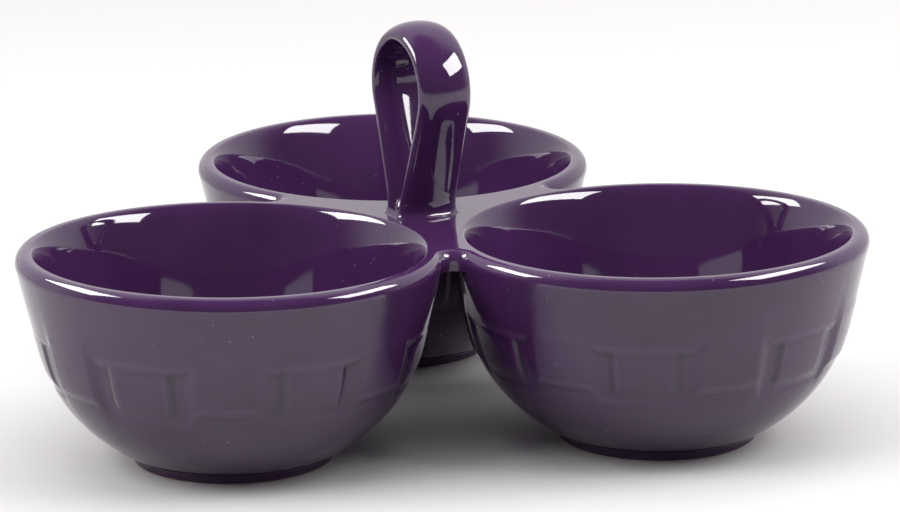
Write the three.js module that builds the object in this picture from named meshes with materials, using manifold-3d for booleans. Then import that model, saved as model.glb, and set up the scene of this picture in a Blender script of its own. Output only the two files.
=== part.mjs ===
// A three-bowl relish dish in glazed stoneware: three like bowls whose rims meet a flat three-armed web, with a strap
// handle bent into a loop on the web. Millimetres, +Z up. The origin lies on the table, midway between the bowls.
import * as THREE from "three";
import { mergeVertices } from "three/addons/utils/BufferGeometryUtils.js";
import Module from "manifold-3d";

// Bowls: radii and heights in millimetres, leans and slopes in degrees.
const RIM_RADIUS = 60; // the rim's outermost circle
const RIM_HEIGHT = 60; // from the table to the top of the rim
const RIM_GAP = 2; // between two neighbouring rims where they come closest
const ROLL_WIDTH = 3; // rolled outer edge of the rim, measured inwards
const ROLL_DROP = 3.4; // and downwards
const RIM_LAND = 1; // flat top of the rim, between the rolled edge and the inner edge
const EASE_DEPTH = 7; // how far down the inner edge eases into the wall
const WALL = 5.6;
const WALL_LEAN = 13; // from upright
const BELLY_TOP = 34; // height where the leaning wall begins to turn in
const BELLY_RISE = 31; // the belly's slope where it leaves the foot
const FLOOR = 5.4;
const FLOOR_FLAT = 15; // radius of the flat middle of the floor

// Foot rings.
const FOOT_RADIUS = 28.6;
const FOOT_WIDTH = 5;
const FOOT_HEIGHT = 3.6;
const FOOT_BEVEL = 0.7;
const FOOT_OVERHANG = 3; // how far outside the foot ring the belly starts

// Woven band: the weaver is sunk where it runs behind an upright stake, and stands proud between two stakes.
const STAKES = 7;
const STAKE_HALF = 9; // half of a stake's width, in degrees round the bowl
const STAKE_SIDE = 1; // width of a stake's stepped side, in degrees
const SUNK_HALF = 15.5; // half of the sunk stretch round a stake, in degrees
const WEAVER_TURN = 4; // width of the turn from sunk to proud, in degrees
const WEAVER_SUNK = 0.9;
const WEAVER_PROUD = 0.4;
const STAKE_PROUD = 0.6; // over the sunk weaver
const BAND_LOW = 25;
const BAND_HIGH = 39.8;
const BAND_STEP = 1; // height of the band's stepped edges
const BAND_SWAY = 1.45; // the band lies lower by this where it is sunk, and higher where it is proud

// Web, handle and collar.
const WEB_THICKNESS = 6;
const NECK_RADIUS = 3.2; // hollow curve that leads from one rim into the next
const HANDLE_TOP = 115.5; // height over the table
const HANDLE_TURN = 18; // the loop's turn about its axis, in degrees
const HANDLE_ASIDE = 1.5; // the handle was luted on by hand, off the dish's middle by this to the left
const HANDLE_BACK = 0.3; // and by this to the rear
const LOOP_RADIUS = 15.2; // to the middle of the strap, over the top of the loop
const STRAP_WIDTH = 16.4;
const STRAP_CROWN = 3.7; // from the middle of the strap out to its rounded face
const STRAP_BACK = 2.5; // from the middle of the strap in to its flat face
const STRAP_EDGE = 1.5; // rounding of the flat face's edges
const ROOT_SPREAD = 3.8; // from the axis to the middle of each end of the strap
const ROOT_RISE = 1; // solid root of the handle, above the collar
const ROOT_MARGIN = 0.4; // the root stands out from the strap by this
const ROOT_CORNER = 4;
const COLLAR_WIDTH = 3;
const COLLAR_HEIGHT = 2.5;
const COLLAR_EDGE = 0.5; // thickness of the collar's upper edge
const JOINT_GAP = 0.3; // slip line between two pieces

// How finely the curves are divided, and how close two corners lie to count as one.
const ROLL_STEPS = 3;
const EASE_STEPS = 3;
const BELLY_STEPS = 3;
const INNER_STEPS = 5;
const JOIN_STEPS = 16;
const FOOT_SIDES = 40;
const NECK_SIDES = 36;
const LOOP_STEPS = 40;
const STRAP_STEPS = 4;
const CORNER_STEPS = 4;
const FLARE_STEPS = 4;
const MERGE_WITHIN = 1e-3;

const radians = THREE.MathUtils.degToRad;
const rollBase = RIM_HEIGHT - ROLL_DROP;
const joinRadius = RIM_RADIUS - ROLL_WIDTH; // where the web takes over from a bowl's rim
const wallSlope = Math.tan(radians(WALL_LEAN));
const bowlReach = (2 * RIM_RADIUS + RIM_GAP) / Math.sqrt(3); // from the dish's middle to a bowl's axis
const neckLean = Math.acos((RIM_RADIUS + RIM_GAP / 2) / (RIM_RADIUS + NECK_RADIUS));
const neckReach = bowlReach / 2 + (RIM_RADIUS + NECK_RADIUS) * Math.sin(neckLean);
const joinHalf = Math.PI / 6 + neckLean; // half of the angle over which the web meets a bowl
const webBase = RIM_HEIGHT - WEB_THICKNESS;
const handleBase = RIM_HEIGHT + JOINT_GAP;

const wasm = await Module();
wasm.setup();

// A closed geometry as a solid that can be cut and joined.
function toSolid(geometry) {
  const bare = new THREE.BufferGeometry();
  bare.setAttribute("position", geometry.getAttribute("position"));
  bare.setIndex(geometry.index);
  const merged = mergeVertices(bare, MERGE_WITHIN);
  const corners = merged.index.array;
  const triVerts = [];
  for (let i = 0; i < corners.length; i += 3) {
    const [a, b, c] = corners.subarray(i, i + 3);
    if (a !== b && b !== c && c !== a) triVerts.push(a, b, c);
  }
  const vertProperties = merged.attributes.position.array;
  return new wasm.Manifold(new wasm.Mesh({ numProp: 3, vertProperties, triVerts: new Uint32Array(triVerts) }));
}

function toGeometry(solid) {
  const { vertProperties, triVerts } = solid.getMesh();
  const geometry = new THREE.BufferGeometry();
  geometry.setAttribute("position", new THREE.BufferAttribute(vertProperties, 3));
  geometry.setIndex(new THREE.BufferAttribute(triVerts, 1));
  geometry.computeVertexNormals();
  return geometry;
}

function cut(blank, ...tools) {
  return toGeometry(tools.reduce((solid, tool) => solid.subtract(toSolid(tool)), toSolid(blank)));
}

// A flat shape raised to a height, standing at the given level.
function raised(shape, level, height, curveSegments) {
  const geometry = new THREE.ExtrudeGeometry(shape, { depth: height, bevelEnabled: false, curveSegments });
  return geometry.translate(0, 0, level);
}

// A profile of radius and height turned round the Z axis.
function turned(profile, sides) {
  return new THREE.LatheGeometry(profile, sides).rotateX(Math.PI / 2);
}

// The rim's rolled edge, from its outermost line up to the flat top, as insets from that line and heights.
const roll = Array.from({ length: ROLL_STEPS + 1 }, (_, i) => {
  const turn = ((i / ROLL_STEPS) * Math.PI) / 2;
  return { inset: ROLL_WIDTH * (1 - Math.cos(turn)), height: rollBase + ROLL_DROP * Math.sin(turn) };
});

// Outside of the bowl below the roll: a straight leaning wall over a belly that curves in to the foot.
const wallAt = (height) => RIM_RADIUS - (rollBase - height) * wallSlope;

function bellyCurve() {
  const foot = new THREE.Vector2(FOOT_RADIUS + FOOT_OVERHANG, FOOT_HEIGHT);
  const top = new THREE.Vector2(wallAt(BELLY_TOP), BELLY_TOP);
  const rise = new THREE.Vector2(Math.cos(radians(BELLY_RISE)), Math.sin(radians(BELLY_RISE)));
  const run = (top.x - foot.x - (top.y - foot.y) * wallSlope) / (rise.x - rise.y * wallSlope);
  return new THREE.QuadraticBezierCurve(foot, foot.clone().addScaledVector(rise, run), top);
}

const belly = bellyCurve();

function outsideAt(height) {
  if (height >= BELLY_TOP) return wallAt(height);
  const { v0, v1, v2 } = belly;
  const a = v0.y - 2 * v1.y + v2.y;
  const b = v1.y - v0.y;
  const c = v0.y - height;
  return belly.getPoint((Math.sqrt(b * b - a * c) - b) / a).x;
}

// Inside of the bowl: the inner edge eases into the wall, which curves into the flat floor.
function insideProfile() {
  const edge = RIM_RADIUS - ROLL_WIDTH - RIM_LAND;
  const easeBase = RIM_HEIGHT - EASE_DEPTH;
  const inner = (height) => wallAt(height) - WALL / Math.cos(radians(WALL_LEAN));
  const floorTop = FOOT_HEIGHT + FLOOR;
  const ease = Array.from({ length: EASE_STEPS + 1 }, (_, i) => {
    const turn = ((1 - i / EASE_STEPS) * Math.PI) / 2;
    const along = edge - (edge - inner(easeBase)) * Math.cos(turn);
    return new THREE.Vector2(along, easeBase + EASE_DEPTH * Math.sin(turn));
  });
  const bowl = new THREE.QuadraticBezierCurve(
    new THREE.Vector2(inner(BELLY_TOP), BELLY_TOP),
    new THREE.Vector2(inner(floorTop), floorTop),
    new THREE.Vector2(FLOOR_FLAT, floorTop),
  );
  return [...ease, ...bowl.getPoints(INNER_STEPS), new THREE.Vector2(0, floorTop)];
}

// One row of the bowl's profile; sway and weave say whether it follows the band's waves and its relief.
const row = (radius, height, sway = 0, weave = 0) => ({ radius, height, sway, weave });

function bowlRows() {
  const low = BAND_LOW - BAND_STEP / 2;
  const high = BAND_HIGH + BAND_STEP / 2;
  const under = Array.from({ length: BELLY_STEPS }, (_, i) => {
    const height = FOOT_HEIGHT + ((low - FOOT_HEIGHT) * i) / BELLY_STEPS;
    return row(outsideAt(height), height);
  });
  const middle = (BAND_LOW + BAND_HIGH) / 2;
  const woven = [low + BAND_STEP, middle, high - BAND_STEP].map((height) => row(outsideAt(height), height, 1, 1));
  return [
    row(0, FOOT_HEIGHT),
    ...under,
    row(outsideAt(low), low, 1),
    ...woven,
    row(outsideAt(high), high, 1),
    ...roll.map(({ inset, height }) => row(RIM_RADIUS - inset, height)),
    ...insideProfile().map(({ x, y }) => row(x, y)),
  ];
}

// The columns of one stake and the two half stretches beside it: turn from the stake's middle, relief and sway.
function bandColumns() {
  const pitch = 360 / STAKES;
  const column = (turn, relief, sway) => ({ turn, relief, sway });
  const stake = STAKE_PROUD - WEAVER_SUNK;
  const half = [
    column(0, stake, -1),
    column(STAKE_HALF - STAKE_SIDE / 2, stake, -1),
    column(STAKE_HALF + STAKE_SIDE / 2, -WEAVER_SUNK, -1),
    column(SUNK_HALF - WEAVER_TURN / 2, -WEAVER_SUNK, -1),
    column(SUNK_HALF + WEAVER_TURN / 2, WEAVER_PROUD, 1),
    column(pitch / 2, WEAVER_PROUD, 1),
  ];
  const mirrored = half.slice(1, -1).reverse();
  const repeat = [...half, ...mirrored.map((c) => ({ ...c, turn: pitch - c.turn }))];
  return Array.from({ length: STAKES }, (_, i) =>
    repeat.map((c) => ({ ...c, turn: radians((i + 0.5) * pitch + c.turn) })),
  ).flat();
}

// A bowl about its own axis, with the web towards -X: turned, its band pressed in, and its rim rebated for the web.
function bowlGeometry() {
  const rows = bowlRows();
  const columns = bandColumns();
  const points = rows.map(({ radius, height }) => new THREE.Vector2(radius, height));
  const body = turned(points, columns.length);
  const position = body.getAttribute("position");
  for (let i = 0; i < position.count; i++) {
    const { turn, relief, sway } = columns[Math.floor(i / rows.length) % columns.length];
    const at = rows[i % rows.length];
    const height = at.height + at.sway * sway * BAND_SWAY;
    const radius = (at.sway ? outsideAt(height) : at.radius) + at.weave * relief;
    position.setXYZ(i, radius * Math.cos(turn), radius * Math.sin(turn), height);
  }
  const half = joinHalf + JOINT_GAP / RIM_RADIUS;
  const rebate = new THREE.Shape();
  rebate.absarc(0, 0, joinRadius, Math.PI - half, Math.PI + half, false);
  rebate.absarc(0, 0, RIM_RADIUS + ROLL_WIDTH, Math.PI + half, Math.PI - half, true);
  return cut(body, raised(rebate, webBase - JOINT_GAP, WEB_THICKNESS + 2 * JOINT_GAP, JOIN_STEPS));
}

function footGeometry() {
  const inner = FOOT_RADIUS - FOOT_WIDTH;
  const top = FOOT_HEIGHT - JOINT_GAP;
  const profile = [
    [inner + FOOT_BEVEL, 0],
    [FOOT_RADIUS - FOOT_BEVEL, 0],
    [FOOT_RADIUS, FOOT_BEVEL],
    [FOOT_RADIUS, top],
    [inner, top],
    [inner, FOOT_BEVEL],
    [inner + FOOT_BEVEL, 0],
  ];
  return turned(profile.map(([x, y]) => new THREE.Vector2(x, y)), FOOT_SIDES);
}

// The web's plan runs along each bowl's rebate and round the hollow neck to the next bowl. Its neck edges are rolled
// like the rims.
function webGeometry(bowlTurns) {
  const plan = new THREE.Shape();
  const spools = [];
  const profile = [
    new THREE.Vector2(0, webBase - JOINT_GAP),
    new THREE.Vector2(NECK_RADIUS + (rollBase - webBase + JOINT_GAP) * wallSlope, webBase - JOINT_GAP),
    ...roll.map(({ inset, height }) => new THREE.Vector2(NECK_RADIUS + inset, height)),
    new THREE.Vector2(NECK_RADIUS + ROLL_WIDTH, handleBase),
    new THREE.Vector2(0, handleBase),
  ];
  for (const turn of bowlTurns) {
    const bowl = new THREE.Vector2(bowlReach, 0).rotateAround(new THREE.Vector2(), turn);
    const back = turn + Math.PI;
    plan.absarc(bowl.x, bowl.y, joinRadius + JOINT_GAP, back + joinHalf, back - joinHalf, true);
    const away = turn + Math.PI / 3;
    const neck = new THREE.Vector2(neckReach, 0).rotateAround(new THREE.Vector2(), away);
    const start = away - Math.PI / 2 - neckLean;
    plan.absarc(neck.x, neck.y, NECK_RADIUS, start, away - 1.5 * Math.PI + neckLean, true);
    spools.push(turned(profile, NECK_SIDES).translate(neck.x, neck.y, 0));
  }
  return cut(raised(plan, webBase, WEB_THICKNESS, JOIN_STEPS), ...spools);
}

// A rectangle with rounded corners, given by half of its width and depth.
function roundedPlan(width, depth, corner) {
  const plan = new THREE.Shape();
  plan.absarc(width - corner, depth - corner, corner, 0, Math.PI / 2, false);
  plan.absarc(corner - width, depth - corner, corner, Math.PI / 2, Math.PI, false);
  plan.absarc(corner - width, corner - depth, corner, Math.PI, 1.5 * Math.PI, false);
  plan.absarc(width - corner, corner - depth, corner, 1.5 * Math.PI, 2 * Math.PI, false);
  plan.closePath();
  return plan;
}

const rootWidth = STRAP_WIDTH / 2 + ROOT_MARGIN;
const rootDepth = ROOT_SPREAD + STRAP_CROWN + ROOT_MARGIN;
const rootTop = handleBase + COLLAR_HEIGHT + ROOT_RISE;

// Middle line of the strap, in the YZ plane: up one end, over the round top and down the other end.
class LoopCurve extends THREE.Curve {
  constructor() {
    super();
    this.centre = HANDLE_TOP - STRAP_CROWN - LOOP_RADIUS;
    const drop = this.centre - rootTop;
    const reach = Math.hypot(ROOT_SPREAD, drop);
    this.lean = Math.asin(LOOP_RADIUS / reach) - Math.atan2(ROOT_SPREAD, drop);
    this.root = rootTop - handleBase;
    this.side = Math.sqrt(reach * reach - LOOP_RADIUS * LOOP_RADIUS);
    this.half = this.root + this.side + LOOP_RADIUS * (Math.PI / 2 + this.lean);
  }

  getPoint(t, target = new THREE.Vector3()) {
    const along = this.half * (1 - Math.abs(2 * t - 1));
    const hand = t < 0.5 ? -1 : 1;
    const past = along - this.root;
    if (past <= 0) return target.set(0, hand * ROOT_SPREAD, handleBase + along);
    if (past <= this.side) {
      const out = ROOT_SPREAD + past * Math.sin(this.lean);
      return target.set(0, hand * out, rootTop + past * Math.cos(this.lean));
    }
    const turn = (past - this.side) / LOOP_RADIUS - this.lean;
    return target.set(0, hand * LOOP_RADIUS * Math.cos(turn), this.centre + LOOP_RADIUS * Math.sin(turn));
  }
}

// The strap is flat with rounded edges inside the loop and crowned outside it; its two ends meet in a solid root.
function handleGeometry() {
  const half = STRAP_WIDTH / 2;
  const section = new THREE.Shape();
  section.absellipse(0, 0, STRAP_CROWN, half, -Math.PI / 2, Math.PI / 2, false);
  section.lineTo(STRAP_EDGE - STRAP_BACK, half);
  section.quadraticCurveTo(-STRAP_BACK, half, -STRAP_BACK, half - STRAP_EDGE);
  section.lineTo(-STRAP_BACK, STRAP_EDGE - half);
  section.quadraticCurveTo(-STRAP_BACK, -half, STRAP_EDGE - STRAP_BACK, -half);
  section.closePath();
  const extrudePath = new LoopCurve();
  const loop = new THREE.ExtrudeGeometry(section, { extrudePath, steps: LOOP_STEPS, curveSegments: STRAP_STEPS });
  const root = raised(roundedPlan(rootWidth, rootDepth, ROOT_CORNER), handleBase, rootTop - handleBase, CORNER_STEPS);
  return toGeometry(toSolid(loop).add(toSolid(root)));
}

// The collar's hollow flank sweeps out from the root to the web.
function collarGeometry() {
  const grown = (by) => roundedPlan(rootWidth + by, rootDepth + by, ROOT_CORNER + by);
  const options = { depth: COLLAR_HEIGHT, steps: FLARE_STEPS, bevelEnabled: false, curveSegments: CORNER_STEPS };
  const flank = new THREE.ExtrudeGeometry(grown(COLLAR_WIDTH), options);
  const position = flank.getAttribute("position");
  const least = JOINT_GAP + COLLAR_EDGE;
  for (let i = 0; i < position.count; i++) {
    const left = 1 - position.getZ(i) / COLLAR_HEIGHT;
    const by = least + (COLLAR_WIDTH - least) * (1 - Math.sqrt(1 - left * left));
    position.setX(i, (position.getX(i) * (rootWidth + by)) / (rootWidth + COLLAR_WIDTH));
    position.setY(i, (position.getY(i) * (rootDepth + by)) / (rootDepth + COLLAR_WIDTH));
  }
  const hole = raised(grown(JOINT_GAP), -JOINT_GAP, COLLAR_HEIGHT + 2 * JOINT_GAP, CORNER_STEPS);
  return cut(flank, hole).translate(0, 0, handleBase);
}

function piece(name, geometry, material, parent) {
  const mesh = new THREE.Mesh(geometry, material);
  mesh.name = name;
  parent.add(mesh);
}

const glaze = () => new THREE.MeshStandardMaterial({ color: 0x4a2c58, roughness: 0.12, metalness: 0 });
const bareClay = () => new THREE.MeshStandardMaterial({ color: 0xd8ccb6, roughness: 0.85, metalness: 0 });

const dish = new THREE.Group();
const bowlTurns = { left: radians(210), right: radians(330), rear: radians(450) }; // a third of a turn apart
for (const [side, turn] of Object.entries(bowlTurns)) {
  const seat = new THREE.Group();
  seat.position.set(bowlReach * Math.cos(turn), bowlReach * Math.sin(turn), 0);
  seat.rotation.z = turn;
  piece(`bowl_${side}`, bowlGeometry(), glaze(), seat);
  piece(`foot_ring_${side}`, footGeometry(), bareClay(), seat);
  dish.add(seat);
}
piece("centre_web", webGeometry(Object.values(bowlTurns)), glaze(), dish);

const handle = new THREE.Group();
handle.position.set(-HANDLE_ASIDE, HANDLE_BACK, 0);
handle.rotation.z = radians(HANDLE_TURN);
piece("handle_loop", handleGeometry(), glaze(), handle);
piece("handle_collar", collarGeometry(), glaze(), handle);
dish.add(handle);

export default dish;
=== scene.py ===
# A relish dish in glossy eggplant glaze: three joined bowls with a woven band, and a loop handle on the web
# between them.
import math

import bmesh
import bpy
from mathutils import Matrix, Vector


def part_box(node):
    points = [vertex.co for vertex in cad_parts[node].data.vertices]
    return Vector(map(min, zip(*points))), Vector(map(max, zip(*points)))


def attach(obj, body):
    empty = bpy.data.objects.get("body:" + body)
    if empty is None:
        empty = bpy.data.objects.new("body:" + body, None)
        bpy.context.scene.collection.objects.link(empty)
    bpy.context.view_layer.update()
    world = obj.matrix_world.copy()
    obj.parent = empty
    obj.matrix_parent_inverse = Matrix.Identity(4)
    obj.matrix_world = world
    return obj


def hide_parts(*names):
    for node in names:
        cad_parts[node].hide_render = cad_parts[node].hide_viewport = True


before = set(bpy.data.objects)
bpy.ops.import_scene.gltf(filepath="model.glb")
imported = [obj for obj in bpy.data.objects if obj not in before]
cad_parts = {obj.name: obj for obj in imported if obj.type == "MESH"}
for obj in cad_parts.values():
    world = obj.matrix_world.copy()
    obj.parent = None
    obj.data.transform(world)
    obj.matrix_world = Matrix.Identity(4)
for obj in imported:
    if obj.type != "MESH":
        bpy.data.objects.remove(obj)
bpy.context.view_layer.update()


# Bowls. Three like stoneware bowls, about 7 mm thick, each with a rolled rim. A plain basket band of seven
# stakes is pressed into the soft wall, and a glossy eggplant glaze is fired over it. Each rim is let in where
# the web meets it.
mm = 0.001
bowl_turns = {"left": 210, "right": 330, "rear": 90}  # degrees round the dish's middle
band_turns = {"left": 1.3, "right": 1.4, "rear": 0}  # how far each band was pressed off the web's middle
foot_low, foot_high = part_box("foot_ring_rear")
bowl_reach = (foot_low.y + foot_high.y) / 2  # from the dish's middle to a bowl's axis
solid_margin = 0.02 * mm  # the bowl keeps this far inside its solid
rim_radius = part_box("bowl_right")[1].x - bowl_reach * math.cos(math.radians(30)) - solid_margin
rim_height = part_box("bowl_rear")[1].z
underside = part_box("bowl_rear")[0].z
web_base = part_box("centre_web")[0].z

wall_thickness = 6.7 * mm
wall_slope = math.tan(math.radians(13))
roll_width = 3 * mm
roll_drop = 3.4 * mm
rim_land = 1 * mm
ease_depth = 11 * mm  # the long soft bend from the rim into the inner wall
belly_start = 31.6 * mm
belly_top = 34 * mm
belly_rise = math.radians(31)
floor_top = 9 * mm
floor_flat = 15 * mm
close_rows_low = 20 * mm  # the rows lie close together over the band
close_rows_high = 46 * mm
roll_base = rim_height - roll_drop
join_radius = rim_radius - roll_width

stakes = 7
pitch = 360 / stakes
stake_half = 8.2  # degrees from a stake's middle to where its side begins
stake_side = 2.4
sunk_half = 13.0  # degrees from a stake's middle to where the weaver begins to come forward
weaver_turn = 5.0
weaver_sunk = 0.7 * mm
weaver_proud = 0.42 * mm
stake_proud = 0.62 * mm
band_low = 25 * mm
band_high = 39.8 * mm
band_edge = 1.9 * mm
band_sway = 1.45 * mm
stake_start = 1 * mm  # below the band's lower edge, where a stake starts to rise out of it
stake_rise = 4 * mm
belly_fade = 4 * mm  # the relief dies out over this width towards the foot
give_sunk = 0.3 * mm  # the plain wall gives way a little beside a sunk stretch
give_above = 0.36 * mm  # and comes forward with a proud one, more above the band than below it
give_below = 0.04 * mm
give_reach = 4 * mm
lip_proud = 0.07 * mm  # soft lip along the band's edges
lip_reach = 1.1 * mm
pool_and_shade_reach = 0.4 * band_edge  # the glaze is painted darker in the band's corners, as pooled glaze with painted shade, and lighter on its lips, as thin glaze with a painted highlight
pool_and_shade_above = 0.7
pool_and_shade_below = 0.8
thin_lip_and_highlight = 0.7
thin_stake_and_highlight = 0.5

neck_radius = 3.2 * mm
rim_half_gap = bowl_reach * math.cos(math.radians(30)) - rim_radius
neck_lean = math.acos((rim_radius + rim_half_gap) / (rim_radius + neck_radius))
join_half = 30 + math.degrees(neck_lean)  # half of the angle over which the web meets a bowl
join_crack = 0.01  # degrees between the two columns at each end of that stretch


def spaced(start, end, count):
    """Even steps from start to end, without the start."""
    return [start + (end - start) * (i + 1) / count for i in range(count)]


def smooth(value):
    """Eases from 0 to 1."""
    value = min(max(value, 0), 1)
    return value * value * (3 - 2 * value)


def bezier(first, handle, last, count):
    """Points on a bend from first to last, without the first."""
    return [first.lerp(handle, t).lerp(handle.lerp(last, t), t) for t in spaced(0, 1, count)]


def wall_radius(height):
    return rim_radius - (roll_base - height) * wall_slope


def belly_bend():
    """Ends and handle of the belly's bend, as radius and height."""
    first = Vector((belly_start, underside))
    last = Vector((wall_radius(belly_top), belly_top))
    rise = Vector((math.cos(belly_rise), math.sin(belly_rise)))
    span = last - first
    return first, first + rise * (span.x - span.y * wall_slope) / (rise.x - rise.y * wall_slope), last


belly_first, belly_handle, belly_last = belly_bend()


def outside_radius(height):
    """The plain outside of the bowl below the rolled rim."""
    if height >= belly_top:
        return wall_radius(height)
    a = belly_first.y - 2 * belly_handle.y + belly_last.y
    b = belly_handle.y - belly_first.y
    t = (math.sqrt(b * b - a * (belly_first.y - height)) - b) / a
    return (1 - t) ** 2 * belly_first.x + 2 * t * (1 - t) * belly_handle.x + t * t * belly_last.x


def bowl_profile():
    """Half section: from the axis under the bowl, up the outside, over the rim and down the inside."""
    heights = [underside]
    heights += spaced(underside, close_rows_low, 16)
    heights += spaced(close_rows_low, close_rows_high, 52)
    heights += spaced(close_rows_high, web_base, 8)
    heights += [web_base + 0.01 * mm]
    heights += spaced(web_base, roll_base, 4)
    profile = [(0, underside), (0.7 * belly_start, underside)]
    profile += [(outside_radius(height), height) for height in heights]
    for turn in spaced(0, math.pi / 2, 16):
        profile.append((join_radius + roll_width * math.cos(turn), roll_base + roll_drop * math.sin(turn)))
    edge = join_radius - rim_land
    profile += [(radius, rim_height) for radius in spaced(join_radius, edge, 3)]
    wall_across = wall_thickness * math.hypot(1, wall_slope)
    ease_base = rim_height - ease_depth
    ease_corner = Vector((wall_radius(rim_height) - wall_across, rim_height))
    ease_end = Vector((wall_radius(ease_base) - wall_across, ease_base))
    profile += bezier(Vector((edge, rim_height)), ease_corner, ease_end, 24)
    profile += [(wall_radius(height) - wall_across, height) for height in spaced(ease_base, belly_top, 8)]
    inner_top = Vector((wall_radius(belly_top) - wall_across, belly_top))
    corner = Vector((wall_radius(floor_top) - wall_across, floor_top))
    profile += bezier(inner_top, corner, Vector((floor_flat, floor_top)), 26)
    return profile + [(radius, floor_top) for radius in spaced(floor_flat, 0, 4)]


def draw_line(name, points):
    """A new piece that is one line, drawn by extruding a point from place to place. Stays in edit mode."""
    bpy.ops.object.select_all(action="DESELECT")
    bpy.ops.mesh.primitive_plane_add(size=mm)
    piece = bpy.context.object
    piece.name = name
    piece.data.name = name
    bpy.ops.object.mode_set(mode="EDIT")
    bpy.ops.mesh.merge(type="CENTER")
    bpy.ops.transform.translate(value=points[0])
    for start, end in zip(points, points[1:]):
        bpy.ops.mesh.extrude_region_move(TRANSFORM_OT_translate={"value": Vector(end) - Vector(start)})
    bpy.ops.mesh.select_all(action="SELECT")
    return piece


def close_up(piece):
    """Merges doubled points, turns the faces outwards and leaves edit mode."""
    bpy.ops.mesh.select_all(action="SELECT")
    bpy.ops.mesh.remove_doubles(threshold=0.001 * mm)
    bpy.ops.mesh.normals_make_consistent(inside=False)
    bpy.ops.object.mode_set(mode="OBJECT")
    return piece


def turn_on_wheel(name, profile, steps):
    """A profile of radius and height, turned round the Z axis."""
    piece = draw_line(name, [Vector((radius, 0, height)) for radius, height in profile])
    bpy.ops.mesh.spin(steps=steps, angle=2 * math.pi, center=(0, 0, 0), axis=(0, 0, 1), use_auto_merge=True)
    return close_up(piece)


band_columns = [(0, 0), (8, 8), (16, 10.2), (19, 12.5), (29, 18.5), (36, pitch / 2)]
columns_per_stake = 2 * band_columns[-1][0]


def column_turn(column):
    """Turn of a column in degrees, with the columns drawn together at the sides of the stakes and weavers."""
    repeat, place = divmod(column, columns_per_stake)
    side = place - columns_per_stake / 2
    for (first, first_turn), (last, last_turn) in zip(band_columns, band_columns[1:]):
        if abs(side) <= last:
            turn = first_turn + (last_turn - first_turn) * (abs(side) - first) / (last - first)
            break
    turn = (repeat + 0.5) * pitch + math.copysign(turn, side)
    return turn % 360


def turns_by_column(band_turn):
    """Turns of all columns; those beside the ends of the web's stretch are drawn to those ends."""
    turns = [(column_turn(column) + band_turn) % 360 for column in range(stakes * columns_per_stake)]
    for end in (180 - join_half, 180 + join_half):
        below = max((turn, i) for i, turn in enumerate(turns) if turn < end)[1]
        turns[below] = end - join_crack / 2
        turns[below + 1] = end + join_crack / 2
    return turns


def near(offset, reach):
    """Falls from 1 to 0 away from a line."""
    return math.exp(-((offset / reach) ** 2))


def band_relief(turn, height):
    """How far the band stands out of the wall, and its glaze colour: thin and lighter with a painted highlight
    above 0, pooled and darker with painted shade below 0.
    """
    off = abs((turn % pitch) - pitch / 2)
    sunk = 1 - smooth((off - sunk_half) / weaver_turn)
    stake = 1 - smooth((off - stake_half) / stake_side)
    sway = band_sway * (1 - 2 * sunk)
    over_low = height - band_low - sway
    under_high = band_high + sway - height
    within = smooth(over_low / band_edge + 0.5) * smooth(under_high / band_edge + 0.5)
    woven = weaver_proud * (1 - sunk) - weaver_sunk * sunk
    risen = smooth((height - band_low + stake_start) / stake_rise)
    woven += stake_proud * stake * risen
    away = max(-over_low, -under_high, 0)
    give_proud = give_above if under_high < over_low else give_below
    plain = (give_proud * (1 - sunk) - give_sunk * sunk) * math.exp(-away / give_reach)
    lip_below = near(over_low - lip_reach, lip_reach) * (1 - sunk)
    lip_above = near(under_high + lip_reach, lip_reach) * sunk
    standing = risen * within
    # Painted shade at the stakes' feet and in the corners beside the band's edges, on top of the real pooling of
    # the glaze.
    stake_foot = near(off - stake_half - 0.8 * stake_side, 0.5 * stake_side) * standing
    pooled_and_shaded = stake_foot + pool_and_shade_above * near(under_high - pool_and_shade_reach, pool_and_shade_reach) * sunk
    pooled_and_shaded += pool_and_shade_below * near(over_low + pool_and_shade_reach, pool_and_shade_reach) * (1 - sunk)
    # Painted highlight on the lips and stake edges, on top of the real thinning of the glaze there.
    stake_edge = near(off - stake_half, 0.4 * stake_side) * standing
    run_and_light = thin_lip_and_highlight * (lip_below + lip_above) + thin_stake_and_highlight * stake_edge - pooled_and_shaded
    return woven * within + plain * (1 - within) + lip_proud * (lip_below + lip_above), run_and_light


def press_band(piece, band_turn):
    """Spaces the columns, presses the woven band into the outside and lets the rim in for the web."""
    turns = turns_by_column(band_turn)
    # The attribute holds where the glaze colour is painted lighter (thin glaze and painted highlight) and darker
    # (pooled glaze and painted shade).
    glaze_run_and_painted_light = piece.data.attributes.new("glaze_run_and_painted_light", "FLOAT", "POINT").data
    for point, run_and_light in zip(piece.data.vertices, glaze_run_and_painted_light):
        radius = math.hypot(point.co.x, point.co.y)
        height = point.co.z
        column = round(math.degrees(math.atan2(point.co.y, point.co.x)) * len(turns) / 360)
        turn = turns[column % len(turns)]
        outer = height < roll_base and outside_radius(height) - radius < wall_thickness / 2
        if outer and height > underside:
            relief, run_and_light.value = band_relief(turn - band_turn, height)
            radius += relief * smooth((radius - belly_start) / belly_fade)
        if abs(turn - 180) < join_half and radius > join_radius and height > web_base + 0.005 * mm:
            radius = join_radius
        point.co.x = radius * math.cos(math.radians(turn))
        point.co.y = radius * math.sin(math.radians(turn))


middle_dip = 0.67 * mm
rim_lift = 1.15 * mm
slump_reach = bowl_reach + rim_radius
handle_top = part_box("handle_loop")[1].z


def slump(piece):
    """In the kiln the web sank and the outer rims rose a little; the feet and the handle's top kept still."""
    for point in piece.data.vertices:
        reach = math.hypot(point.co.x, point.co.y) / slump_reach
        share = point.co.z / rim_height
        if share > 1:
            share = max((handle_top - point.co.z) / (handle_top - rim_height), 0)
        point.co.z += ((rim_lift + middle_dip) * reach * reach - middle_dip) * share


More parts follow.
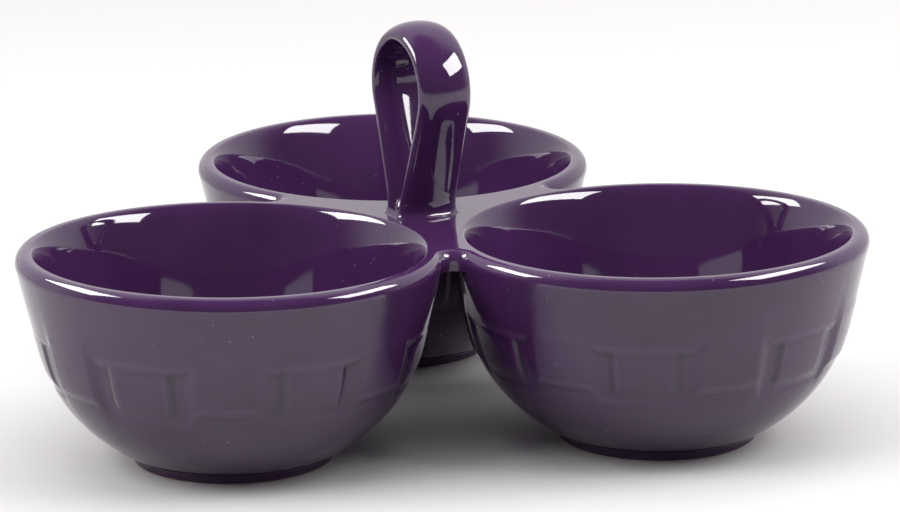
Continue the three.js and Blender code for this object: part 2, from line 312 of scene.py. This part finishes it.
def set_in_place(piece, turn, axis):
    """Turns a piece round the Z axis, moves it to its own axis on the dish and keeps both in its mesh."""
    piece.data.transform(Matrix.Translation(axis) @ Matrix.Rotation(math.radians(turn), 4, "Z"))


def polar(reach, turn):
    return Vector((reach * math.cos(math.radians(turn)), reach * math.sin(math.radians(turn)), 0))


def copy_of(piece, name):
    bpy.ops.object.select_all(action="DESELECT")
    piece.select_set(True)
    bpy.context.view_layer.objects.active = piece
    bpy.ops.object.duplicate()
    copy = bpy.context.object
    copy.name = name
    copy.data.name = name
    return copy


def hand_over(piece, node, material):
    """Smooths a finished piece, glazes it and lets it stand for its node."""
    bpy.ops.object.select_all(action="DESELECT")
    piece.select_set(True)
    bpy.context.view_layer.objects.active = piece
    bpy.ops.object.shade_smooth_by_angle(angle=math.radians(40))
    piece.data.materials.clear()
    piece.data.materials.append(material)
    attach(piece, "root")
    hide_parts(node)


def add_node(tree, kind, **values):
    """A shader node with some of its inputs set; a socket given as a value is linked."""
    node = tree.nodes.new(kind)
    for name, value in values.items():
        socket = node.inputs[name.replace("_", " ")]
        if isinstance(value, bpy.types.NodeSocket):
            tree.links.new(value, socket)
        else:
            socket.default_value = value
    return node


def blend_colours(tree, factor, first, second):
    mix = tree.nodes.new("ShaderNodeMix")
    mix.data_type = "RGBA"
    for place, value in ((0, factor), (6, first), (7, second)):
        if isinstance(value, bpy.types.NodeSocket):
            tree.links.new(value, mix.inputs[place])
        else:
            mix.inputs[place].default_value = value
    return mix.outputs[2]


def ramp(tree, value, low, high, to_low=0.0, to_high=1.0):
    """Maps a value from one range to another, eased and kept within it."""
    node = add_node(tree, "ShaderNodeMapRange", Value=value, From_Min=low, From_Max=high)
    node.inputs["To Min"].default_value = to_low
    node.inputs["To Max"].default_value = to_high
    node.interpolation_type = "SMOOTHSTEP"
    return node.outputs[0]


glaze_deep = (0.060, 0.018, 0.084, 1)
glaze_bright = (0.082, 0.026, 0.115, 1)
# Thin glaze on the band's lips and stake edges, lightened further as a painted highlight.
glaze_thinned_and_highlit = (0.165, 0.078, 0.205, 1)
# Pooled glaze in the band's corners and at the stakes' feet, darkened further as painted shade.
glaze_pooled_and_shaded = (0.013, 0.004, 0.019, 1)
speck_pale = (0.55, 0.50, 0.56, 1)
glaze_ior = 1.6
cloud_scale = 26.0  # these scales are in bumps or cells to the metre
speck_scale = 330.0
speck_drift = 34.0
speck_least = 0.015  # radius of a speck, as a share of its cell
speck_most = 0.11
speck_cover = 0.8
matt_scale = 90.0
matt_least = 0.035  # roughness of the glaze
matt_most = 0.065
ripple_scale = 140.0
ripple_depth = 0.02 * mm


def glaze_nodes(tree, place):
    """Colour, roughness and surface of the glaze: cloudy, lighter on edges as thin glaze with a painted
    highlight, darker in the band's corners as pooled glaze with painted shade, with specks and a faint ripple.
    """
    clouds = add_node(tree, "ShaderNodeTexNoise", Vector=place, Scale=cloud_scale, Detail=4.0, Roughness=0.55)
    colour = blend_colours(tree, ramp(tree, clouds.outputs[0], 0.3, 0.7), glaze_deep, glaze_bright)
    run_and_light = tree.nodes.new("ShaderNodeAttribute")
    run_and_light.attribute_name = "glaze_run_and_painted_light"
    # Lighter where the glaze runs thin, with a painted highlight on the band's lips and stake edges.
    colour = blend_colours(tree, ramp(tree, run_and_light.outputs["Fac"], 0.0, 1.0, 0.0, 0.5), colour, glaze_thinned_and_highlit)
    # Darker where the glaze pools, with painted shade in the band's corners.
    colour = blend_colours(tree, ramp(tree, run_and_light.outputs["Fac"], -1.1, -0.1, 0.6, 0.0), colour, glaze_pooled_and_shaded)
    dust = add_node(tree, "ShaderNodeTexVoronoi", Vector=place, Scale=speck_scale)
    drift = add_node(tree, "ShaderNodeTexNoise", Vector=place, Scale=speck_drift, Detail=2.0)
    speck_size = ramp(tree, drift.outputs[0], 0.40, 0.70, speck_least, speck_most)
    speck = add_node(tree, "ShaderNodeMapRange", Value=dust.outputs["Distance"], From_Max=speck_size)
    speck.inputs["To Min"].default_value = speck_cover
    speck.inputs["To Max"].default_value = 0.0
    colour = blend_colours(tree, speck.outputs[0], colour, speck_pale)
    matt = add_node(tree, "ShaderNodeTexNoise", Vector=place, Scale=matt_scale, Detail=3.0)
    roughness = ramp(tree, matt.outputs[0], 0.3, 0.7, matt_least, matt_most)
    ripple = add_node(tree, "ShaderNodeTexNoise", Vector=place, Scale=ripple_scale, Detail=2.0)
    surface = add_node(tree, "ShaderNodeBump", Height=ripple.outputs[0], Distance=ripple_depth, Strength=0.5)
    return colour, roughness, surface.outputs[0]


def eggplant_glaze():
    material = bpy.data.materials.new("eggplant_glaze")
    material.use_nodes = True
    tree = material.node_tree
    shader = tree.nodes["Principled BSDF"]
    shader.inputs["IOR"].default_value = glaze_ior
    place = tree.nodes.new("ShaderNodeTexCoord").outputs["Object"]
    for name, socket in zip(("Base Color", "Roughness", "Normal"), glaze_nodes(tree, place)):
        tree.links.new(socket, shader.inputs[name])
    return material


glaze = eggplant_glaze()
bowl = turn_on_wheel("glazed_bowl_left", bowl_profile(), stakes * columns_per_stake)
bowls = {"left": bowl}
for side in ("right", "rear"):
    bowls[side] = copy_of(bowl, f"glazed_bowl_{side}")
for side, piece in bowls.items():
    press_band(piece, band_turns[side])
    set_in_place(piece, bowl_turns[side], polar(bowl_reach, bowl_turns[side]))
    slump(piece)
    hand_over(piece, f"bowl_{side}", glaze)


# Foot rings. Each bowl stands on a low ring turned from the same clay. Its side is glazed with the bowl, and its
# base is wiped clean before firing, so a thin line of bare cream clay shows next to the table.
foot_radius = (foot_high.x - foot_low.x) / 2
foot_width = 5 * mm
foot_round = 0.7 * mm
foot_waist = 2.6 * mm  # height up to which the ring's side stays upright before it runs into the belly
foot_tuck = 0.6 * mm  # the side ends this far inside the belly's first circle
foot_set_in = 0.06 * mm  # how far the ring goes up into the bowl
foot_steps = 180
wiped_height = 0.45 * mm
wiped_wander = 0.25 * mm
wander_scale = 110.0
grain_scale = 1500.0
clay_rough = 0.85
clay_pale = (0.62, 0.52, 0.38, 1)
clay_toasted = (0.34, 0.21, 0.11, 1)


def foot_profile():
    """Section of the ring: up its hollow side into the belly, across, down the inside and along the base."""
    inner = foot_radius - foot_width
    top = underside + foot_set_in
    side = [Vector((foot_radius, foot_round))]
    side += bezier(side[0], Vector((foot_radius, foot_waist)), Vector((belly_start - foot_tuck, top)), 14)
    rounds = spaced(0, math.pi / 2, 6)
    inside = [(inner, top), (inner, foot_round)]
    inside += [(inner + foot_round * (1 - math.cos(t)), foot_round * (1 - math.sin(t))) for t in rounds]
    base = foot_radius - foot_round
    outside = [(base + foot_round * math.sin(t), foot_round * (1 - math.cos(t))) for t in [0] + rounds]
    return [tuple(point) for point in side] + inside + outside


def wiped_foot():
    """Glaze above a wandering line, a toasted edge on the line and fine-grained bare clay below it."""
    material = bpy.data.materials.new("wiped_foot")
    material.use_nodes = True
    tree = material.node_tree
    shader = tree.nodes["Principled BSDF"]
    shader.inputs["IOR"].default_value = glaze_ior
    place = tree.nodes.new("ShaderNodeTexCoord").outputs["Object"]
    colour, roughness, surface = glaze_nodes(tree, place)
    wander = add_node(tree, "ShaderNodeTexNoise", Vector=place, Scale=wander_scale, Detail=3.0)
    height = add_node(tree, "ShaderNodeSeparateXYZ", Vector=place).outputs["Z"]
    line = tree.nodes.new("ShaderNodeMath")
    line.operation = "MULTIPLY_ADD"
    tree.links.new(wander.outputs[0], line.inputs[0])
    line.inputs[1].default_value = -wiped_wander
    tree.links.new(height, line.inputs[2])
    grain = add_node(tree, "ShaderNodeTexNoise", Vector=place, Scale=grain_scale, Detail=5.0)
    clay = blend_colours(tree, ramp(tree, grain.outputs[0], 0.35, 0.7), clay_toasted, clay_pale)
    toasted = ramp(tree, line.outputs[0], 0.05 * mm, wiped_height - wiped_wander)
    clay = blend_colours(tree, toasted, clay, clay_toasted)
    glazed = ramp(tree, line.outputs[0], wiped_height - wiped_wander, wiped_height - 0.6 * wiped_wander)
    tree.links.new(blend_colours(tree, glazed, clay, colour), shader.inputs["Base Color"])
    rough = add_node(tree, "ShaderNodeMapRange", Value=glazed, To_Min=clay_rough, To_Max=roughness)
    tree.links.new(rough.outputs[0], shader.inputs["Roughness"])
    tree.links.new(surface, shader.inputs["Normal"])
    return material


foot_finish = wiped_foot()
for side, turn in bowl_turns.items():
    ring = turn_on_wheel(f"wiped_foot_ring_{side}", foot_profile(), foot_steps)
    set_in_place(ring, turn, polar(bowl_reach, turn))
    hand_over(ring, f"foot_ring_{side}", foot_finish)


# Web. A flat three-armed bridge of clay, level with the rims, is luted between the bowls and closes the gap
# under the handle. Its free edges at the three necks are rolled like the rims, and the glaze runs over the
# joints.
neck_reach = bowl_reach / 2 + (rim_radius + neck_radius) * math.sin(neck_lean)
web_grid = 6 * mm
arc_steps = 90
neck_steps = 48
neck_half = 90 - math.degrees(neck_lean)  # half of the hollow curve's turn about its own centre


def web_outline():
    """The flat top's edge: along each bowl's let-in rim, then round the hollow neck to the next bowl."""
    points = []
    reach_back = join_half - join_crack
    for turn in bowl_turns.values():
        bowl_axis = polar(bowl_reach, turn)
        arc = [turn + 180 + reach_back - 2 * reach_back * i / arc_steps for i in range(arc_steps + 1)]
        points += [bowl_axis + polar(join_radius, angle) for angle in arc]
        neck = polar(neck_reach, turn + 60)
        sweep = [turn + 240 + neck_half] + spaced(turn + 240 + neck_half, turn + 240 - neck_half, neck_steps)
        points += [neck + polar(neck_radius + roll_width, angle) for angle in sweep]
    return [point + Vector((0, 0, rim_height)) for point in points]


def roll_inset(height):
    """How far the rolled edge has drawn back from its outermost line at a height."""
    if height < roll_base:
        return (roll_base - height) * wall_slope
    return roll_width * (1 - math.sqrt(max(1 - ((height - roll_base) / roll_drop) ** 2, 0)))


def shape_neck_row(piece, height):
    """Brings the selected row to its height, and its points at the necks to the rolled edge there."""
    mesh = bmesh.from_edit_mesh(piece.data)
    for point in mesh.verts:
        if not point.select:
            continue
        point.co.z = height
        for turn in bowl_turns.values():
            neck = polar(neck_reach, turn + 60)
            out = Vector((point.co.x - neck.x, point.co.y - neck.y))
            off = math.degrees(out.angle_signed(Vector((-neck.x, -neck.y))))
            if out.length < 2 * neck_radius + roll_width and abs(off) < neck_half + 4 * join_crack:
                place = out.normalized() * (neck_radius + roll_inset(height))
                point.co.x = neck.x + place.x
                point.co.y = neck.y + place.y
    bmesh.update_edit_mesh(piece.data)


web = draw_line("glazed_web", web_outline())
bpy.ops.mesh.edge_face_add()
web_rows = [roll_base + roll_drop * math.sin(turn) for turn in spaced(math.pi / 2, 0, 16)]
web_rows += spaced(roll_base, web_base, 4)
for row_height in web_rows:
    bpy.ops.mesh.extrude_region_move(TRANSFORM_OT_translate={"value": (0, 0, -0.01 * mm)})
    shape_neck_row(web, row_height)
bpy.ops.mesh.select_all(action="SELECT")
grid_lines = math.ceil(neck_reach / web_grid)
for line in range(-grid_lines, grid_lines + 1):
    for across in (Vector((1, 0, 0)), Vector((0, 1, 0))):
        bpy.ops.mesh.select_all(action="SELECT")
        bpy.ops.mesh.bisect(plane_co=across * line * web_grid, plane_no=across)
bpy.ops.mesh.select_all(action="SELECT")
bpy.ops.mesh.normals_make_consistent(inside=False)
bpy.ops.object.mode_set(mode="OBJECT")
slump(web)
hand_over(web, "centre_web", glaze)


# Handle. A strap of clay, nearly flat inside and crowned outside, is bent into a tear-shaped loop. Its two ends
# are pressed together into one root, wider than the strap, and luted to the web by hand, a little turned and
# off the middle.
handle_turn = 18
collar_low, collar_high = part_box("handle_collar")
handle_axis = Vector(((collar_low.x + collar_high.x) / 2, (collar_low.y + collar_high.y) / 2, 0))
loop_radius = 15.2 * mm
strap_half = 8.2 * mm
strap_crown = 3.7 * mm
strap_back = 2.5 * mm
strap_back_crown = 0.95 * mm  # the inner face is slightly crowned too
strap_edge = 1.5 * mm
root_spread = 3.8 * mm
root_top = 63.8 * mm
root_base = rim_height - 0.5 * mm
root_bend = 9 * mm
filler_top = 67.5 * mm
flare_top = 88 * mm  # below this the strap widens
root_half = 9.1 * mm
handle_voxel = 0.38 * mm
handle_smoothing = 26


def strap_section():
    """Outline of the strap, as distance outwards and across: its crown, then its back with round edges."""
    crown_turns = spaced(-math.pi / 2, math.pi / 2, 40)
    crown = [(strap_crown * math.cos(t), strap_half * math.sin(t)) for t in crown_turns]
    back_edge = strap_back_crown - strap_back
    back_half = strap_half - strap_edge
    side = Vector((strap_edge + back_edge, strap_half))
    edge = [side] + bezier(side, Vector((back_edge, strap_half)), Vector((back_edge, back_half)), 8)
    rounded = [(out, across) for out, across in edge]
    shares = spaced(1, -1, 24)[:-1]
    back = [(strap_back_crown * share * share - strap_back, back_half * share) for share in shares]
    return crown + rounded + back + [(out, -across) for out, across in reversed(rounded)]


def bend_strap():
    """Draws the section at one end of the strap and takes it up, over the top and down to the other end."""
    centre = handle_top - strap_crown - loop_radius
    drop = centre - root_top
    reach = math.hypot(root_spread, drop)
    lean = math.asin(loop_radius / reach) - math.atan2(root_spread, drop)
    leg = math.sqrt(reach * reach - loop_radius * loop_radius)
    bend = root_bend * math.tan(lean / 2)
    section = strap_section()
    points = [Vector((across, -root_spread - out, root_base)) for out, across in section]
    strap = draw_line("glazed_handle", points)
    bpy.ops.mesh.edge_face_add()
    bpy.ops.mesh.delete(type="ONLY_FACE")
    bpy.ops.mesh.select_all(action="SELECT")
    rise = Vector((0, 0, root_top - bend - root_base))
    up = Vector((0, -math.sin(lean), math.cos(lean))) * (leg - bend)
    down = Vector((0, -math.sin(lean), -math.cos(lean))) * (leg - bend)
    bend_axis = Vector((0, -root_spread - root_bend, root_top - bend))
    far_axis = Vector((0, root_spread + root_bend, root_top - bend))
    bpy.ops.mesh.extrude_region_move(TRANSFORM_OT_translate={"value": rise})
    bpy.ops.mesh.spin(steps=10, angle=lean, center=bend_axis, axis=(-1, 0, 0))
    bpy.ops.mesh.extrude_region_move(TRANSFORM_OT_translate={"value": up})
    bpy.ops.mesh.spin(steps=140, angle=math.pi + 2 * lean, center=(0, 0, centre), axis=(1, 0, 0))
    bpy.ops.mesh.extrude_region_move(TRANSFORM_OT_translate={"value": down})
    bpy.ops.mesh.spin(steps=10, angle=lean, center=far_axis, axis=(-1, 0, 0))
    bpy.ops.mesh.extrude_region_move(TRANSFORM_OT_translate={"value": -rise})
    bpy.ops.mesh.select_all(action="SELECT")
    bpy.ops.mesh.fill_holes(sides=0)
    return close_up(strap)


def press_ends(strap):
    """Fills the gap between the strap's two ends with a round lump, then works both into one smooth piece."""
    bpy.ops.object.select_all(action="DESELECT")
    lump = Vector((strap_half, root_spread, filler_top - root_base))
    lump_base = (0, 0, root_base)
    bpy.ops.mesh.primitive_uv_sphere_add(segments=64, ring_count=40, radius=1, location=lump_base, scale=lump)
    bpy.ops.object.mode_set(mode="EDIT")
    bpy.ops.mesh.bisect(plane_co=lump_base, plane_no=(0, 0, 1), use_fill=True, clear_inner=True)
    bpy.ops.object.mode_set(mode="OBJECT")
    strap.select_set(True)
    bpy.context.view_layer.objects.active = strap
    bpy.ops.object.join()
    strap.data.remesh_voxel_size = handle_voxel
    bpy.ops.object.voxel_remesh()
    modifier = strap.modifiers.new("worked_smooth", "SMOOTH")
    modifier.factor = 0.5
    modifier.iterations = handle_smoothing
    bpy.ops.object.modifier_apply(modifier=modifier.name)


def flare_root(strap):
    """Widens the strap evenly down to its root."""
    for point in strap.data.vertices:
        down = min(max((flare_top - point.co.z) / (flare_top - rim_height), 0), 1)
        point.co.x *= 1 + (root_half / strap_half - 1) * down


handle = bend_strap()
press_ends(handle)
flare_root(handle)
set_in_place(handle, handle_turn, handle_axis)
slump(handle)
hand_over(handle, "handle_loop", glaze)


# Collar. A coil of soft clay is worked into the corner between the handle's root and the web, and left as a
# small hollow sweep that the glaze fills.
collar_width = 1.4 * mm
collar_height = 1.8 * mm
collar_set_in = 0.4 * mm
collar_sunk = 0.05 * mm  # the coil goes this far into the web
collar_rows = 14


def root_plan(grown, height):
    """Outline round the root, grown outwards, at a height over the web."""
    wide = root_half + grown
    deep = strap_crown + grown
    points = []
    for end in (1, -1):
        for t in spaced(-math.pi / 2, math.pi / 2, 40):
            x = wide * math.sin(t) * -end
            y = (root_spread + deep * math.cos(t)) * end
            points.append(Vector((x, y, rim_height + height)))
        sides = spaced(root_spread, -root_spread, 8)[:-1]
        points += [Vector((-wide * end, y * end, rim_height + height)) for y in sides]
    return points


def reshape_row(piece, places):
    """Moves the selected row, point by point in its own order, to new places."""
    mesh = bmesh.from_edit_mesh(piece.data)
    row = [point for point in mesh.verts if point.select]
    for point, place in zip(row, places):
        point.co = place
    bmesh.update_edit_mesh(piece.data)


collar = draw_line("glazed_collar", root_plan(-collar_set_in, collar_height))
bpy.ops.mesh.edge_face_add()
bpy.ops.mesh.delete(type="ONLY_FACE")
bpy.ops.mesh.select_all(action="SELECT")
flank = [(0, collar_height)]
for share in spaced(1, 0, collar_rows):
    flank.append((collar_width * (1 - math.sqrt(1 - (1 - share) ** 2)), collar_height * share))
flank += [(collar_width, -collar_sunk), (-collar_set_in, -collar_sunk), (-collar_set_in, collar_height)]
for grown, height in flank:
    bpy.ops.mesh.extrude_region_move(TRANSFORM_OT_translate={"value": (0, 0, 0)})
    reshape_row(collar, root_plan(grown, height))
close_up(collar)
set_in_place(collar, handle_turn, handle_axis)
slump(collar)
hand_over(collar, "handle_collar", glaze)


# Table, light and camera. The dish stands on a wide pale table with a bright sweep behind it. Two soft boxes
# stand high at its sides, and a plain soft light from above and in front fills the shadows.
table_radius = 6.0
table_drop = 0.02 * mm
table_pale = (0.94, 0.925, 0.92, 1)
table_bounce = (0.33, 0.325, 0.325, 1)  # what the paper throws back on to the dish

bpy.ops.object.select_all(action="DESELECT")
table_place = (0, 0, -table_drop)
bpy.ops.mesh.primitive_circle_add(vertices=96, radius=table_radius, fill_type="NGON", location=table_place)
table = bpy.context.object
table.name = "pale_table"
paper = bpy.data.materials.new("pale_paper")
paper.use_nodes = True
paper_shader = paper.node_tree.nodes["Principled BSDF"]
seen = paper.node_tree.nodes.new("ShaderNodeLightPath")
seen_or_mirrored = paper.node_tree.nodes.new("ShaderNodeMath")
seen_or_mirrored.operation = "MAXIMUM"
paper.node_tree.links.new(seen.outputs["Is Camera Ray"], seen_or_mirrored.inputs[0])
paper.node_tree.links.new(seen.outputs["Is Glossy Ray"], seen_or_mirrored.inputs[1])
paper_colour = blend_colours(paper.node_tree, seen_or_mirrored.outputs[0], table_bounce, table_pale)
paper.node_tree.links.new(paper_colour, paper_shader.inputs["Base Color"])
paper_shader.inputs["Roughness"].default_value = 0.9
paper_shader.inputs["Specular IOR Level"].default_value = 0.1
table.data.materials.append(paper)

world = bpy.data.worlds.new("studio")
world.use_nodes = True
bpy.context.scene.world = world
sky = world.node_tree
direction = sky.nodes.new("ShaderNodeTexCoord").outputs["Generated"]
parts = add_node(sky, "ShaderNodeSeparateXYZ", Vector=direction)
behind = ramp(sky, parts.outputs["Y"], -0.25, 0.35)
lowness = ramp(sky, parts.outputs["Z"], 0.88, 0.99, 1.0, 0.0)
lit = sky.nodes.new("ShaderNodeMath")
lit.operation = "MULTIPLY"
sky.links.new(behind, lit.inputs[0])
sky.links.new(lowness, lit.inputs[1])
sweep_bright = (0.95, 0.94, 0.93, 1)
room_dim = (0.11, 0.11, 0.115, 1)
sky_colour = blend_colours(sky, lit.outputs[0], room_dim, sweep_bright)
sky.links.new(sky_colour, sky.nodes["Background"].inputs["Color"])
lamp_aim = Vector((0, 0, 0.1))


def soft_box(name, place, width, height, radiance, seen_glossy):
    """A soft rectangular light aimed at the handle, which gives either its mirror image or its plain light."""
    bpy.ops.object.light_add(type="AREA", location=place)
    lamp = bpy.context.object
    lamp.name = name
    lamp.rotation_euler = (lamp_aim - Vector(place)).to_track_quat("-Z", "Y").to_euler()
    lamp.data.shape = "RECTANGLE"
    lamp.data.size = width
    lamp.data.size_y = height
    lamp.data.energy = radiance * math.pi * width * height
    lamp.visible_camera = False
    lamp.visible_glossy = seen_glossy
    lamp.visible_diffuse = not seen_glossy


soft_box("left_box_image", (-0.30, 0.05, 0.28), width=0.23, height=0.13, radiance=16, seen_glossy=True)
soft_box("right_box_image", (0.262, -0.100, 0.286), width=0.25, height=0.13, radiance=16, seen_glossy=True)
soft_box("left_box_light", (-1.2, -0.42, 1.1), width=1.0, height=1.0, radiance=4.2, seen_glossy=False)
soft_box("right_box_light", (1.2, -0.42, 1.1), width=1.0, height=1.0, radiance=4.2, seen_glossy=False)
soft_box("overhead_light", (0, -0.35, 2.0), width=1.6, height=1.6, radiance=1.7, seen_glossy=False)

view_azimuth = -8.886
view_elevation = 14.404
view_roll = -0.37
view_distance = 1.1258
view_right = 0.00661
view_up = 0.044577
picture_width = 900
focal_pixels = 3828.0

turned_round = Matrix.Rotation(math.radians(view_azimuth), 3, "Z")
turned_to = turned_round @ Matrix.Rotation(math.radians(90 - view_elevation), 3, "X")
eye = turned_to @ Vector((view_right, view_up, view_distance))
turned_to = turned_to @ Matrix.Rotation(math.radians(view_roll), 3, "Z")
bpy.ops.object.camera_add(location=eye, rotation=turned_to.to_euler())
camera = bpy.context.object
camera.data.sensor_width = 36
camera.data.lens = focal_pixels / picture_width * camera.data.sensor_width
camera.data.clip_end = 20
bpy.context.scene.camera = camera
bpy.context.scene.view_settings.view_transform = "Standard"
